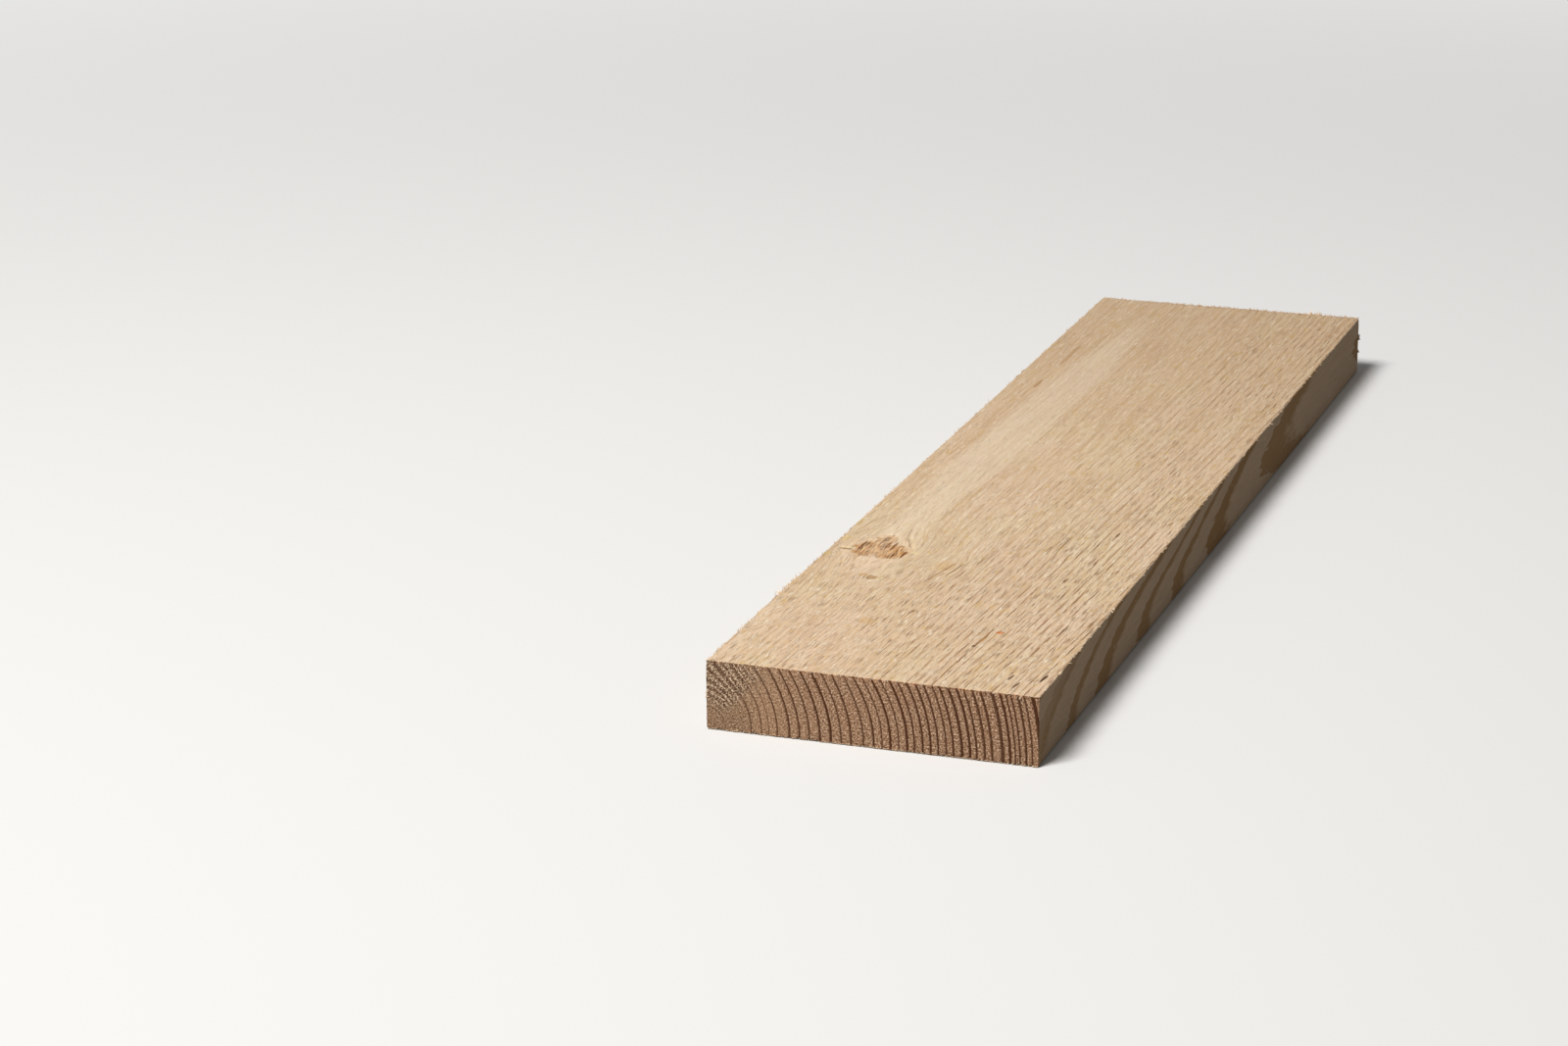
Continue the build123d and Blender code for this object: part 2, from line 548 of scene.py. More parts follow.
def wear_long_edges(moved, place, on):
    """Chips and wears the two long edges of the sawn face."""
    loss = ARRIS_WEAR + waves(place, ARRIS_WAVES)
    loss += ARRIS_CHIPS.reach * smooth_step(noise(place, ARRIS_CHIPS), *ARRIS_CHIP_LEVELS)
    to_edge = np.minimum(place[:, 0], WIDTH - place[:, 0])
    below_face = THICKNESS - place[:, 2]
    inward = np.where(place[:, 0] < WIDTH / 2.0, 1.0, -1.0)
    side = on["left"] | on["right"]
    moved[:, 2] -= np.where(on["face"], loss * np.exp(-to_edge / FACE_WEAR_REACH), 0.0)
    moved[:, 0] += np.where(side, inward * loss * np.exp(-below_face / SIDE_WEAR_REACH), 0.0)


def wear_end_edges(moved, place, on):
    """Tears the top edge of each end ragged and frays its bottom edge."""
    end = on["near"] | on["far"]
    to_end = np.minimum(place[:, 1], LENGTH - place[:, 1])
    below_face = THICKNESS - place[:, 2]
    into_board = np.where(place[:, 1] < LENGTH / 2.0, 1.0, -1.0)
    ragged = END_ARRIS + waves(place, END_TOP_EDGE)
    fading = np.exp(-np.where(end, below_face, to_end) / RAGGED_REACH)
    drop = np.maximum(ragged, 0.0) * np.exp(-to_end / RAGGED_DROP_REACH)
    moved[:, 1] += np.where(end | on["face"], into_board * ragged * fading, 0.0)
    moved[:, 2] -= np.where(on["face"], drop, 0.0)
    frayed = np.maximum(END_ARRIS + waves(place, END_LOW_EDGE), 0.0)
    moved[:, 1] += np.where(end, into_board * frayed * np.exp(-place[:, 2] / FRAYED_REACH), 0.0)
    moved[:, 2] += np.where(end & on["back"], frayed, 0.0)


def shaped(wood, on):
    """The places of the wood moved onto the torn and worn surface."""
    moved = round_section(wood.place)
    planed = planed_relief(wood)
    ends = end_relief(wood)
    moved[:, 2] += np.where(on["face"], sawn_relief(wood), 0.0)
    moved[:, 0] += np.where(on["right"], planed, 0.0) - np.where(on["left"], planed, 0.0)
    moved[:, 1] += np.where(on["far"], ends, 0.0) - np.where(on["near"], ends, 0.0)
    wear_long_edges(moved, wood.place, on)
    wear_end_edges(moved, wood.place, on)
    moved[:, 2] = np.maximum(moved[:, 2], 0.0)
    return moved


def set_attribute(mesh, name, kind, values):
    """Stores one value for each vertex, for the materials to read."""
    layer = mesh.attributes.new(name, kind, "POINT")
    field = "vector" if kind == "FLOAT_VECTOR" else "value"
    layer.data.foreach_set(field, np.asarray(values, np.float32).ravel())


def add_object(name, data):
    """A new object in the scene."""
    made = bpy.data.objects.new(name, data)
    bpy.context.scene.collection.objects.link(made)
    return made


def make_board(sawn, planed, crosscut):
    """The board as one closed mesh, with a material for each kind of cut."""
    index, place, on = board_vertices()
    wood = grow(place)
    points = (shaped(wood, on) + LOW_CORNER) * MM
    faces, slots = board_faces(index)
    mesh = bpy.data.meshes.new("trim_board")
    mesh.from_pydata(points.tolist(), [], faces)
    for material in (sawn, planed, crosscut):
        mesh.materials.append(material)
    mesh.polygons.foreach_set("material_index", slots)
    mesh.polygons.foreach_set("use_smooth", [True] * len(faces))
    set_attribute(mesh, "place", "FLOAT_VECTOR", wood.place)
    set_attribute(mesh, "fibre", "FLOAT_VECTOR", wood.fibre)
    set_attribute(mesh, "arc", "FLOAT_VECTOR", wood.arc)
    set_attribute(mesh, "ring", "FLOAT", wood.ring)
    set_attribute(mesh, "torn", "FLOAT", torn_share(wood))
    mesh.update()
    board = add_object("trim_board", mesh)
    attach(board, "root")
    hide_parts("board")


# Torn fibres

def unit(vectors):
    """The vectors at length 1."""
    return vectors / np.linalg.norm(vectors, axis=1, keepdims=True)


def face_fuzz(chance):
    """Short fibres that the saw left lifted from its face, lying close along the grain."""
    place = np.column_stack((
        chance.uniform(FUZZ_SIDE_GAP, WIDTH - FUZZ_SIDE_GAP, FUZZ_COUNT),
        chance.uniform(FUZZ_END_GAP, LENGTH - FUZZ_END_GAP, FUZZ_COUNT),
        np.full(FUZZ_COUNT, THICKNESS),
    ))
    lengths = chance.uniform(*FUZZ_LENGTHS, FUZZ_COUNT)
    lifts = np.clip(chance.exponential(FUZZ_LIFT, FUZZ_COUNT), *FUZZ_LIFTS)
    sense = chance.choice((-1.0, 1.0), FUZZ_COUNT)
    slopes = DRIFT_FAR + chance.normal(0.0, FUZZ_SPREAD, FUZZ_COUNT)
    to_end = np.where(sense > 0.0, LENGTH - place[:, 1], place[:, 1])
    lengths = np.minimum(lengths, to_end + FUZZ_PAST_END)
    place[:, 2] += sawn_relief(grow(place)) - FUZZ_SUNK
    ways = unit(np.column_stack((sense * slopes * lengths, sense * lengths, lifts)))
    normals = np.tile((0.0, 0.0, 1.0), (FUZZ_COUNT, 1))
    return place, ways, normals, lengths, chance.uniform(*FUZZ_WIDTHS, FUZZ_COUNT)


def edge_fuzz(chance, burr):
    """The fibres of one burr, each at its own place between the corners and up to its reach long."""
    several = (burr.count, 3)
    share = chance.uniform(0.0, 1.0, several)
    place = np.array(burr.start) + share * (np.array(burr.stop) - np.array(burr.start))
    place += chance.normal(0.0, ROOT_SCATTER, several)
    ways = unit(np.array(burr.out) + chance.normal(0.0, WAY_SCATTER, several))
    normals = np.tile((0.0, 0.0, 1.0), (burr.count, 1)) + chance.normal(0.0, NORMAL_SCATTER, several)
    lengths = burr.reach * chance.uniform(*LENGTH_SHARES, burr.count)
    return place, ways, normals, lengths, burr.width * chance.uniform(*WIDTH_SHARES, burr.count)


def strand_points(roots, ways, normals, lengths, widths):
    """The corners of every sliver, STRAND_POINTS to each."""
    sides = unit(np.cross(ways, normals))
    ups = unit(np.cross(sides, ways))
    sags = ups * (STRAND_SAG * lengths)[:, None]
    bends = roots + ways * (STRAND_BEND * lengths)[:, None] - sags
    tips = roots + ways * lengths[:, None]
    offsets = (STRAND_HALF * sides, STRAND_HEIGHT * ups, -STRAND_HALF * sides)
    corners = [offset * widths[:, None] for offset in offsets]
    points = [roots + corner for corner in corners]
    points += [bends + STRAND_TAPER * corner for corner in corners]
    return np.stack(points + [tips], axis=1).reshape(-1, 3)


def make_fibres(material):
    """Tapered three-sided slivers, each closed and with its root sunk in the wood, as one mesh."""
    chance = np.random.default_rng(FIBRE_SEED)
    groups = [face_fuzz(chance)] + [edge_fuzz(chance, burr) for burr in BURRS]
    strands = [np.concatenate(column) for column in zip(*groups)]
    count = len(strands[0])
    points = strand_points(*strands)
    points[:, 2] = np.maximum(points[:, 2], 0.0)
    faces = [
        [STRAND_POINTS * strand + corner for corner in face]
        for strand in range(count)
        for face in STRAND_FACES
    ]
    mesh = bpy.data.meshes.new("torn_fibres")
    mesh.from_pydata(((points + LOW_CORNER) * MM).tolist(), [], faces)
    mesh.materials.append(material)
    tones = np.random.default_rng(TONE_SEED).uniform(0.0, 1.0, count)
    set_attribute(mesh, "tone", "FLOAT", np.repeat(tones, STRAND_POINTS))
    mesh.update()
    fibres = add_object("torn_fibres", mesh)
    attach(fibres, "root")


# Materials

# Noise in a material: size of its lumps on three axes, detail, roughness, shift and where it sets in
Patch = namedtuple("Patch", "size detail roughness shift low high", defaults=(0.0, 1.0))

# A colour in sRGB steps of 0 to 255, and the share with which it covers what is under it
Tone = namedtuple("Tone", "colour share")

# Latewood, the dark outer part of a ring
LATE_RADII = (40.0, 88.0)  # radii between which it widens
LATE_ONSETS = (0.64, 0.48)  # part of the ring at which it sets in at those radii
LATE_YOUNG = (6.0, 26.0, 0.13, 0.0)  # two radii, and how much later it sets in there
LATE_VARIES = 0.10
LATE_RISE = 0.20  # part of the ring over which it darkens
LATE_FAINTER = 0.15  # share by which the faintest ring is paler


def paint(colour):
    """A colour given in sRGB steps of 0 to 255, as the shader wants it."""
    steps = np.array(colour) / 255.0
    linear = np.where(steps <= 0.04045, steps / 12.92, ((steps + 0.055) / 1.055) ** 2.4)
    return (*linear.tolist(), 1.0)


class Graph:
    """The nodes of one material, with short names for the steps that the wood needs."""

    def __init__(self, name, roughness, specular):
        self.material = bpy.data.materials.new(name)
        self.material.use_nodes = True
        self.tree = self.material.node_tree
        self.shader = self.tree.nodes["Principled BSDF"]
        self.shader.inputs["Roughness"].default_value = roughness
        self.shader.inputs["Specular IOR Level"].default_value = specular

    def add(self, kind, inputs, **settings):
        """A node with its settings, and its inputs linked to sockets or set to values."""
        made = self.tree.nodes.new(kind)
        for name, value in settings.items():
            setattr(made, name, value)
        for name, value in inputs.items():
            if isinstance(value, bpy.types.NodeSocket):
                self.tree.links.new(value, made.inputs[name])
            else:
                made.inputs[name].default_value = value
        return made

    def attribute(self, name, output):
        """What the mesh stores under this name for each vertex."""
        return self.add("ShaderNodeAttribute", {}, attribute_name=name).outputs[output]

    def math(self, operation, first, second=0.0, third=0.0):
        """The result of an operation on numbers."""
        return self.add("ShaderNodeMath", {0: first, 1: second, 2: third}, operation=operation).outputs[0]

    def times(self, first, second):
        """The product of two numbers."""
        return self.math("MULTIPLY", first, second)

    def plus(self, total, value, factor):
        """The total with the value added, times a factor."""
        return self.math("MULTIPLY_ADD", value, factor, total)

    def vector(self, operation, first, second=(0.0, 0.0, 0.0)):
        """A node that does an operation on vectors."""
        return self.add("ShaderNodeVectorMath", {0: first, 1: second}, operation=operation)

    def part(self, vector, axis):
        """One coordinate of a vector."""
        return self.add("ShaderNodeSeparateXYZ", {0: vector}).outputs[axis]

    def span(self, value, low, high, to_low=0.0, to_high=1.0):
        """A smooth step between two values."""
        inputs = {"Value": value, "From Min": low, "From Max": high, "To Min": to_low, "To Max": to_high}
        return self.add("ShaderNodeMapRange", inputs, interpolation_type="SMOOTHSTEP").outputs[0]

    def mix(self, share, first, second):
        """The first colour with a share of the second laid over it."""
        return self.add("ShaderNodeMix", {0: share, 6: first, 7: second}, data_type="RGBA").outputs[2]

    def between(self, share, colours):
        """A colour between two that are given in sRGB steps."""
        return self.mix(share, paint(colours[0]), paint(colours[1]))

    def lay(self, colour, mask, tone):
        """The colour with a tone laid over it where the mask is."""
        return self.mix(self.times(mask, tone.share), colour, paint(tone.colour))

    def noise(self, vector, patch):
        """Noise from 0 to 1 with lumps of the patch's size."""
        counted = self.vector("DIVIDE", vector, patch.size).outputs[0]
        shifted = self.vector("ADD", counted, (patch.shift,) * 3).outputs[0]
        inputs = {"Vector": shifted, "Scale": 1.0, "Detail": patch.detail, "Roughness": patch.roughness}
        return self.add("ShaderNodeTexNoise", inputs).outputs[0]

    def patches(self, vector, patch, to_low=0.0, to_high=1.0):
        """Noise that sets in between the patch's levels."""
        return self.span(self.noise(vector, patch), patch.low, patch.high, to_low, to_high)

    def wobble(self, vector, patch, reach):
        """Noise about 0, of this reach in all."""
        return self.math("MULTIPLY_ADD", self.noise(vector, patch), reach, -reach / 2.0)

    def on_face(self, place, mark, ragged, lean=0.0):
        """1 at the middle of an oval of the sawn face, falling to 0 at its ragged rim."""
        off = self.vector("SUBTRACT", place, (mark.x, mark.y, THICKNESS)).outputs[0]
        turned = {"Vector": off, "Angle": math.radians(lean)}
        off = self.add("ShaderNodeVectorRotate", turned, rotation_type="Z_AXIS").outputs[0]
        scaled = self.vector("DIVIDE", off, (mark.across, mark.along, MARK_DEPTH)).outputs[0]
        length = self.vector("LENGTH", scaled).outputs["Value"]
        return self.span(self.math("ADD", length, ragged), *RIM_LEVELS)

    def radius(self):
        """Distance from the pith."""
        return self.part(self.attribute("arc", "Vector"), "X")

    def chance(self, ring):
        """A repeatable value from 0 to 1 for each ring."""
        number = self.math("FLOOR", ring)
        return self.add("ShaderNodeTexWhiteNoise", {"W": number}, noise_dimensions="1D").outputs[0]

    def latewood(self, ring, radius, soft):
        """1 in the dark outer part of each ring, which darkens slowly and ends sharply."""
        phase = self.math("FRACT", ring)
        chance = self.chance(ring)
        onset = self.span(radius, *LATE_RADII, LATE_ONSETS[0] - soft, LATE_ONSETS[1] - soft)
        onset = self.plus(onset, chance, LATE_VARIES)
        onset = self.math("ADD", onset, self.span(radius, *LATE_YOUNG))
        rise = self.span(phase, onset, self.math("ADD", onset, LATE_RISE + soft))
        return self.times(rise, self.plus(1.0, chance, -LATE_FAINTER))

    def dress(self, colour):
        """The material with this colour."""
        self.tree.links.new(colour, self.shader.inputs["Base Color"])
        return self.material

    def finish(self, colour, height, depth):
        """The material with this colour and a bump of that depth in metres."""
        bump = self.add("ShaderNodeBump", {"Height": height, "Strength": 1.0, "Distance": depth})
        self.tree.links.new(bump.outputs[0], self.shader.inputs["Normal"])
        return self.dress(colour)


# Sawn face: patches and tones, with places along the board and radii as start, stop and the shares there
SAWN_COLOURS = ((223, 200, 166), (223, 197, 168))
SAWN_HUES = Patch((22.0, 50.0, 9.0), 2.0, 0.5, 31.0, 0.35, 0.65)
SAWN_BROAD = Patch((8.0, 70.0, 9.0), 3.0, 0.5, 0.0, 0.3, 0.7)
SAWN_BROAD_TONE = Tone((208, 177, 140), 0.4)
# painted shade: the face turns darker towards the far end, where less of the lamp's light falls
SAWN_FAR_SHADE = (120.0, 390.0, 0.0, 0.55)
SAWN_FAR_SHADE_COLOUR = (198, 168, 134)
STREAKS = Patch((0.9, 50.0, 2.0), 2.0, 0.5, 15.0, 0.40, 0.66)
STREAK_TONE = Tone((182, 142, 98), 0.36)
COARSE = (20.0, 230.0, 1.0, 0.55)

LINE_RISE = (0.70, 0.88)  # part of a ring in which its line sets in
LINE_FALL = (1.0, 0.94)
LINE_BREAKS = Patch((1.2, 9.0, 3.0), 3.0, 0.6, 3.0, 0.40, 0.58)
LINE_LEAST = 0.15  # how much of a line is left where it breaks
LINE_RADII = (32.0, 62.0, 0.05, 1.0)
LINE_VARIES = 0.45
LINE_COLOUR = (142, 98, 60)

ROUGH = Patch((16.0, 50.0, 9.0), 2.0, 0.5, 5.0, 0.35, 0.65)
ROUGH_LEAST = 0.5
CALM = (40.0, 110.0, 0.9, 0.55)
CALM_RADII = (30.0, 58.0)
DASHES = Patch((0.30, 8.0, 1.2), 2.0, 0.5, 7.0, 0.60, 0.66)
# painted shade: dark colour for the shadow in the torn dashes
DASH_SHADE_COLOUR = (128, 86, 51)

FUZZ = Patch((0.32, 6.0, 1.2), 2.0, 0.5, 9.0, 0.56, 0.64)
# pale raised fibres: partly their own paler colour, partly painted highlight
FUZZ_AND_HIGHLIGHT_TONE = Tone((248, 231, 205), 0.80)
FLECKS = Patch((1.6, 5.0, 4.0), 1.0, 0.5, 11.0, 0.64, 0.74)
FLECK_TONE = Tone((202, 166, 102), 0.50)
GRIT = Patch((0.26, 4.0, 0.6), 2.0, 0.6, 13.0, 0.46, 0.64)
GRIT_TONE = Tone((178, 140, 102), 0.42)

SAWN_BUMP = 0.00020  # metres; the heights below are shares of it
FUZZ_HEIGHT = 0.5
DASH_HEIGHT = -0.7
GRIT_HEIGHT = -0.4
LINE_HEIGHT = -0.8
SPLIT_HEIGHT = -1.2


def sawn_wood():
    """Rough-sawn face: pale fuzz, partly painted highlight, over tan wood, torn dashes along the grain with
    painted shade in them, faint rings and the knots, and painted shade towards the far end.
    """
    g = Graph("sawn_face", roughness=0.92, specular=0.09)
    place = g.attribute("place", "Vector")
    fibre = g.attribute("fibre", "Vector")
    radius = g.radius()
    along = g.part(place, "Y")
    coarse = g.span(along, *COARSE)
    line = g.times(sawn_lines(g, fibre, radius), coarse)
    dash = sawn_dashes(g, place, fibre, radius, along, coarse)
    fuzz = g.times(g.patches(fibre, FUZZ), coarse)
    grit = g.noise(fibre, GRIT)
    gritty = g.times(g.span(grit, GRIT.low, GRIT.high), coarse)

    colour = g.between(g.patches(place, SAWN_HUES), SAWN_COLOURS)
    colour = g.lay(colour, g.patches(fibre, SAWN_BROAD), SAWN_BROAD_TONE)
    # painted shade: darker towards the far end of the board, where the light falls off
    colour = g.mix(g.span(along, *SAWN_FAR_SHADE), colour, paint(SAWN_FAR_SHADE_COLOUR))
    colour = g.lay(colour, g.patches(fibre, STREAKS), STREAK_TONE)
    colour = g.mix(line, colour, paint(LINE_COLOUR))
    # painted shade in the torn dashes
    colour = g.mix(dash, colour, paint(DASH_SHADE_COLOUR))
    # pale fuzz, partly painted highlight on the raised fibres
    colour = g.lay(colour, fuzz, FUZZ_AND_HIGHLIGHT_TONE)
    colour = g.lay(colour, g.patches(fibre, FLECKS), FLECK_TONE)
    colour = g.lay(colour, gritty, GRIT_TONE)
    colour, strokes = knotted(g, colour, place)
    colour, split = marked(g, colour, place)

    height = g.plus(g.times(fuzz, FUZZ_HEIGHT), dash, DASH_HEIGHT)
    height = g.plus(height, grit, GRIT_HEIGHT)
    height = g.plus(height, line, LINE_HEIGHT)
    height = g.plus(height, g.math("MAXIMUM", split, strokes), SPLIT_HEIGHT)
    return g.finish(colour, height, SAWN_BUMP)


def sawn_lines(g, fibre, radius):
    """Where the latewood shows on the sawn face as broken lines, which fade towards the pith."""
    ring = g.attribute("ring", "Fac")
    phase = g.math("FRACT", ring)
    line = g.times(g.span(phase, *LINE_RISE), g.span(phase, *LINE_FALL))
    line = g.times(line, g.patches(fibre, LINE_BREAKS, LINE_LEAST))
    line = g.times(line, g.span(radius, *LINE_RADII))
    return g.times(line, g.plus(1.0 - LINE_VARIES, g.chance(ring), LINE_VARIES))


def sawn_dashes(g, place, fibre, radius, along, coarse):
    """Where the saw tore short dashes out of the face, fewer towards the pith and the far end. Their dark
    colour is painted shade in the torn pits.
    """
    rough = g.times(g.patches(place, ROUGH, ROUGH_LEAST), coarse)
    rough = g.times(rough, g.span(radius, *CALM_RADII, g.span(along, *CALM), 1.0))
    return g.times(g.patches(fibre, DASHES), rough)


# Knots and marks of the sawn face
KNOT_WOBBLE = Patch((2.2, 2.8, 9.0), 3.0, 0.5, 21.0)
KNOT_WOBBLE_REACH = 1.0
HALO_TONE = Tone((234, 204, 172), 0.3)
CORE_COLOURS = ((190, 135, 80), (217, 175, 127))
CORE_CHIPS = Patch((1.6, 3.4, 9.0), 2.0, 0.5, 23.0, 0.36, 0.60)
CORE_SHARE = 0.92
STROKES = Patch((0.44, 6.0, 9.0), 2.0, 0.5, 25.0, 0.54, 0.61)
STROKE_TONE = Tone((126, 74, 36), 0.85)
PIN_TONE = Tone((150, 112, 66), 0.65)
MARK_WOBBLE = Patch((0.7, 1.5, 9.0), 2.0, 0.5, 27.0)
MARK_WOBBLE_REACH = 0.7


def knotted(g, colour, place):
    """The sawn face's colour with its two knots laid over it, and the gaps between chips of the larger."""
    wobble = g.wobble(place, KNOT_WOBBLE, KNOT_WOBBLE_REACH)
    colour = g.lay(colour, g.on_face(place, KNOT_HALO, wobble), HALO_TONE)
    inside = 0.0
    for oval in MAIN_OVALS:
        inside = g.math("MAXIMUM", inside, g.on_face(place, oval, wobble))
    strokes = g.times(g.patches(place, STROKES), inside)
    core = g.between(g.patches(place, CORE_CHIPS), CORE_COLOURS)
    core = g.lay(core, strokes, STROKE_TONE)
    colour = g.mix(g.times(inside, CORE_SHARE), colour, core)
    return g.lay(colour, g.on_face(place, PIN_KNOT, wobble), PIN_TONE), strokes


def marked(g, colour, place):
    """The sawn face's colour with its stains and splits laid over it, and where the splits are."""
    wobble = g.wobble(place, MARK_WOBBLE, MARK_WOBBLE_REACH)
    for stain in STAINS:
        colour = g.lay(colour, g.on_face(place, stain, wobble, stain.lean), stain)
    deep = 0.0
    for split in SPLITS:
        inside = g.on_face(place, split, wobble, split.lean)
        colour = g.lay(colour, inside, split)
        deep = g.math("MAXIMUM", deep, inside)
    return colour, deep


# Planed edges and back
PLANED_COLOURS = ((219, 189, 156), (230, 201, 170))
PLANED_WAVER = Patch((1.5, 7.0, 1.5), 3.0, 0.5, 17.0)
PLANED_WAVER_REACH = 0.30
PLANED_STREAKS = Patch((0.5, 26.0, 0.5), 3.0, 0.5, 0.0, 0.3, 0.7)
PLANED_SOFT = -0.02
BAND_RADII = (88.0, 89.0, 1.0, 0.5)  # two radii, and the strength of the bands there
BAND_COLOUR = (192, 154, 110)
BAND_EDGE_POWER = 4.0  # narrows a band to its dark edge
BAND_EDGE_TONE = Tone((164, 122, 79), 0.5)
PORES = Patch((0.2, 5.0, 0.2), 2.0, 0.5, 3.0, 0.55, 0.75)
PORE_TONE = Tone((146, 110, 74), 0.25)
PLANED_BUMP = 0.00004
BAND_HEIGHT = 0.5


def planed_wood():
    """Planed edges and back: smooth, with the rings cut into long dark bands."""
    g = Graph("planed_edge", roughness=0.80, specular=0.04)
    fibre = g.attribute("fibre", "Vector")
    ring = g.plus(g.attribute("ring", "Fac"), g.noise(fibre, PLANED_WAVER), PLANED_WAVER_REACH)
    radius = g.radius()
    late = g.times(g.latewood(ring, radius, PLANED_SOFT), g.span(radius, *BAND_RADII))
    streak = g.noise(fibre, PLANED_STREAKS)
    colour = g.between(g.span(streak, PLANED_STREAKS.low, PLANED_STREAKS.high), PLANED_COLOURS)
    colour = g.mix(late, colour, paint(BAND_COLOUR))
    colour = g.lay(colour, g.math("POWER", late, BAND_EDGE_POWER), BAND_EDGE_TONE)
    colour = g.lay(colour, g.patches(fibre, PORES), PORE_TONE)
    return g.finish(colour, g.plus(streak, late, BAND_HEIGHT), PLANED_BUMP)


# Crosscut ends
END_BROAD = Patch((6.0, 9.0, 6.0), 2.0, 0.5, 3.0, 0.3, 0.7)
HEART_COLOURS = ((163, 129, 99), (171, 135, 103))
YOUNG_COLOURS = ((185, 145, 111), (193, 152, 116))
GROWN_COLOURS = ((179, 136, 103), (184, 144, 112))
HEART_RADII = (8.0, 16.0)  # radii between which the heart turns into young wood
YOUNG_RADII = (16.0, 32.0)  # radii between which that turns into grown wood
END_WAVER = Patch((0.9, 9.0, 0.9), 2.0, 0.5, 0.0)
END_WAVER_REACH = 0.07
GRAIN = Patch((0.47, 9.0, 0.47), 3.0, 0.6, 5.0)
GRAIN_RADII = (12.0, 40.0, 0.65, 0.9)  # two radii, and the strength of the grain there
GRAIN_HIGH = (0.54, 0.60)
GRAIN_LOW = (0.47, 0.40)
GRAIN_PALE = (248, 213, 180)
GRAIN_DARK = (98, 62, 38)
END_LATE_RADII = (3.0, 16.0, 0.45, 1.0)  # two radii, and the strength of the dark lines there
END_LATE_TONE = Tone((80, 42, 19), 0.97)
BEADS = Patch((0.46, 9.0, 0.46), 1.0, 0.5, 7.0)
BEAD_ROWS = 0.07  # how strongly the beads keep to their rows
BEAD_LINES = 0.8  # share by which the dark lines hide the beads
BEAD_HIGH = (0.55, 0.62)
BEAD_LOW = (0.48, 0.39)
# painted highlight on the beads of torn young wood
BEAD_HIGHLIGHT_TONE = Tone((248, 221, 188), 0.9)
# painted shade in the hollows between the beads
HOLLOW_SHADE_TONE = Tone((90, 62, 42), 0.8)
FRAY = Patch((1.3, 9.0, 0.6), 2.0, 0.5, 9.0, 0.48, 0.60)
FRAY_BELOW_FACE = (1.0, 0.2)  # mm under the sawn face between which it sets in
FRAY_TONE = Tone((166, 100, 50), 0.75)
END_BUMP = 0.00016
HOLLOW_HEIGHT = -1.4


def crosscut_wood():
    """Crosscut ends: dark latewood lines in grainy earlywood, torn into beads above the pith, with painted
    highlights on the beads and painted shade between them.
    """
    g = Graph("crosscut_end", roughness=0.88, specular=0.15)
    place = g.attribute("place", "Vector")
    ring = g.plus(g.attribute("ring", "Fac"), g.noise(place, END_WAVER), END_WAVER_REACH)
    radius = g.radius()
    grain = g.noise(place, GRAIN)
    grained = g.span(radius, *GRAIN_RADII)
    late = g.times(g.latewood(ring, radius, 0.0), g.span(radius, *END_LATE_RADII))

    colour = earlywood(g, place, radius)
    colour = g.mix(g.times(g.span(grain, *GRAIN_HIGH), grained), colour, paint(GRAIN_PALE))
    colour = g.mix(g.times(g.span(grain, *GRAIN_LOW), grained), colour, paint(GRAIN_DARK))
    colour = g.lay(colour, late, END_LATE_TONE)
    colour, hollow = beaded(g, colour, place, ring, late)

    fray_top = g.span(g.part(place, "Z"), *(THICKNESS - below for below in FRAY_BELOW_FACE))
    colour = g.lay(colour, g.times(g.patches(place, FRAY), fray_top), FRAY_TONE)
    return g.finish(colour, g.plus(grain, hollow, HOLLOW_HEIGHT), END_BUMP)


def earlywood(g, place, radius):
    """Broad colour of the ends, from the heart out."""
    broad = g.patches(place, END_BROAD)
    heart = g.between(broad, HEART_COLOURS)
    young = g.between(broad, YOUNG_COLOURS)
    grown = g.between(broad, GROWN_COLOURS)
    colour = g.mix(g.span(radius, *HEART_RADII), heart, young)
    return g.mix(g.span(radius, *YOUNG_RADII), colour, grown)


def beaded(g, colour, place, ring, late):
    """The ends' colour with painted highlights on the beads of torn young wood and painted shade in the
    hollows between them, and where the hollows are.
    """
    rows = g.math("COSINE", g.times(ring, ROW_TURN))
    beads = g.plus(g.noise(place, BEADS), rows, BEAD_ROWS)
    torn = g.times(g.attribute("torn", "Fac"), g.plus(1.0, late, -BEAD_LINES))
    # painted highlight on the beads
    colour = g.lay(colour, g.times(g.span(beads, *BEAD_HIGH), torn), BEAD_HIGHLIGHT_TONE)
    hollow = g.times(g.span(beads, *BEAD_LOW), torn)
    # painted shade in the hollows
    return g.lay(colour, hollow, HOLLOW_SHADE_TONE), hollow


# Torn fibres
FIBRE_COLOURS = ((206, 176, 142), (236, 212, 182))


def fibre_wood():
    """Loose fibres, paler than the face where they stand clear of it."""
    g = Graph("torn_fibre", roughness=0.9, specular=0.15)
    return g.dress(g.between(g.attribute("tone", "Fac"), FIBRE_COLOURS))


# Scene

def seen_rays(tree):
    """1 for rays that show the background: the camera's own, and those that are reflected or pass through."""
    path = tree.nodes.new("ShaderNodeLightPath")
    seen = path.outputs["Is Camera Ray"]
    for ray in ("Is Glossy Ray", "Is Transmission Ray"):
        either = tree.nodes.new("ShaderNodeMath")
        either.operation = "MAXIMUM"
        tree.links.new(seen, either.inputs[0])
        tree.links.new(path.outputs[ray], either.inputs[1])
        seen = either.outputs[0]
    return seen


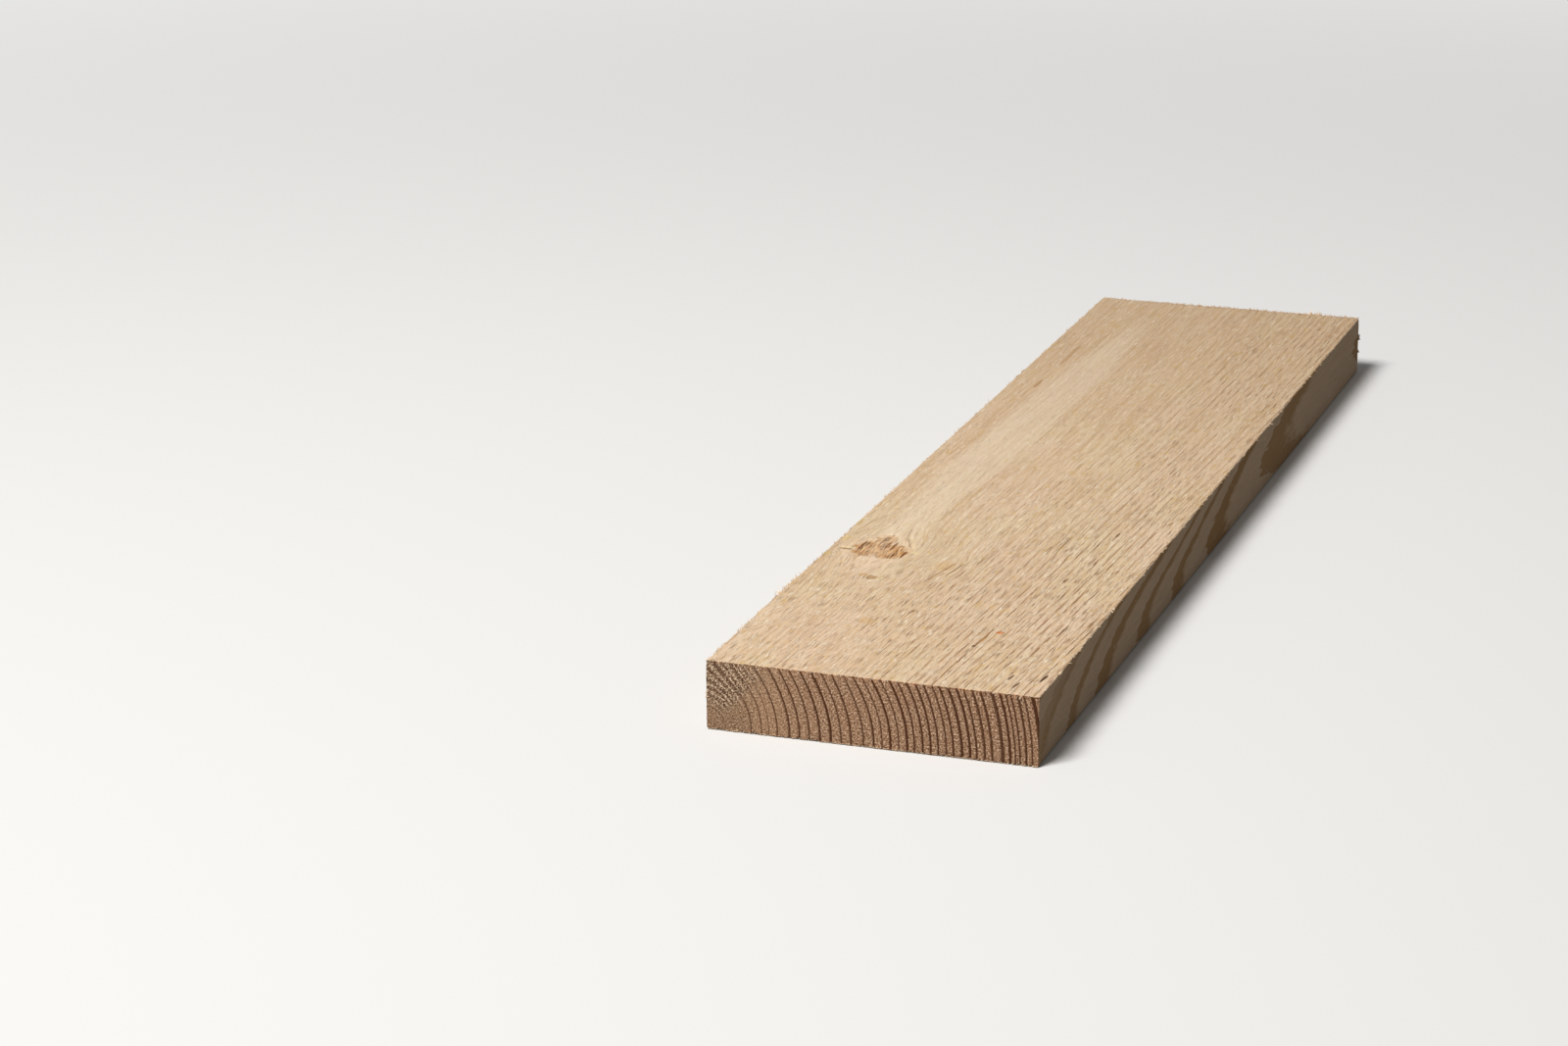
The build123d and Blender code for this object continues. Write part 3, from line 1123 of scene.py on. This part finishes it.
def floor_paint():
    """Pale floor that fades into the background. It sends little light back to the board."""
    g = Graph("floor", roughness=0.9, specular=0.0)
    seen = seen_rays(g.tree)
    place = g.add("ShaderNodeNewGeometry", {}).outputs["Position"]
    pale = g.mix(g.span(g.part(place, "Y"), *FLOOR_PALER), FLOOR_NEAR, STUDIO_WHITE)
    g.dress(g.mix(seen, FLOOR_BOUNCE, pale))
    distance = g.vector("LENGTH", place).outputs["Value"]
    faded = g.times(seen, g.span(distance, *FLOOR_FADE))
    backdrop = g.add("ShaderNodeEmission", {"Color": STUDIO_WHITE, "Strength": BACKDROP})
    blend = g.add("ShaderNodeMixShader", {0: faded, 1: g.shader.outputs[0], 2: backdrop.outputs[0]})
    g.tree.links.new(blend.outputs[0], g.tree.nodes["Material Output"].inputs["Surface"])
    return g.material


def make_floor():
    """Square floor under the board, which takes its shadow."""
    half = FLOOR_HALF
    mesh = bpy.data.meshes.new("floor")
    corners = [(-half, -half, 0.0), (half, -half, 0.0), (half, half, 0.0), (-half, half, 0.0)]
    mesh.from_pydata(corners, [], [(0, 1, 2, 3)])
    mesh.materials.append(floor_paint())
    floor = add_object("floor", mesh)


def make_lamp():
    """A soft square lamp that faces the board."""
    lamp = bpy.data.lights.new("softbox", "AREA")
    lamp.size = LAMP_SIZE
    lamp.energy = LAMP_WATTS
    light = add_object("softbox", lamp)
    light.location = LAMP_PLACE
    light.rotation_euler = (-Vector(LAMP_PLACE)).to_track_quat("-Z", "Y").to_euler()


def make_world():
    """Faint even light from all round, with a pale background behind it."""
    world = bpy.data.worlds.new("studio")
    world.use_nodes = True
    tree = world.node_tree
    shader = tree.nodes["Background"]
    shade = tree.nodes.new("ShaderNodeMapRange")
    shade.inputs["To Min"].default_value = WORLD_LIGHT
    shade.inputs["To Max"].default_value = BACKDROP
    tree.links.new(seen_rays(tree), shade.inputs["Value"])
    tree.links.new(shade.outputs[0], shader.inputs["Strength"])
    shader.inputs["Color"].default_value = STUDIO_WHITE
    bpy.context.scene.world = world


def make_camera():
    """The photograph's viewpoint."""
    forward = Vector((
        -math.sin(CAMERA_TURN) * math.cos(CAMERA_DIP),
        math.cos(CAMERA_TURN) * math.cos(CAMERA_DIP),
        -math.sin(CAMERA_DIP),
    ))
    level = Vector((math.cos(CAMERA_TURN), math.sin(CAMERA_TURN), 0.0))
    upright = level.cross(forward)
    right = math.cos(CAMERA_ROLL) * level - math.sin(CAMERA_ROLL) * upright
    up = math.sin(CAMERA_ROLL) * level + math.cos(CAMERA_ROLL) * upright
    lens = bpy.data.cameras.new("camera")
    lens.sensor_width = SENSOR_WIDTH
    lens.lens = LENS
    lens.clip_start = CLIP_START
    camera = add_object("camera", lens)
    axes = Matrix((right, up, -forward)).transposed()
    camera.matrix_world = Matrix.Translation(CAMERA_PLACE) @ axes.to_4x4()
    bpy.context.scene.camera = camera


make_camera()
make_world()
make_floor()
make_lamp()
make_board(sawn_wood(), planed_wood(), crosscut_wood())
make_fibres(fibre_wood())
bpy.context.scene.view_settings.view_transform = "Standard"
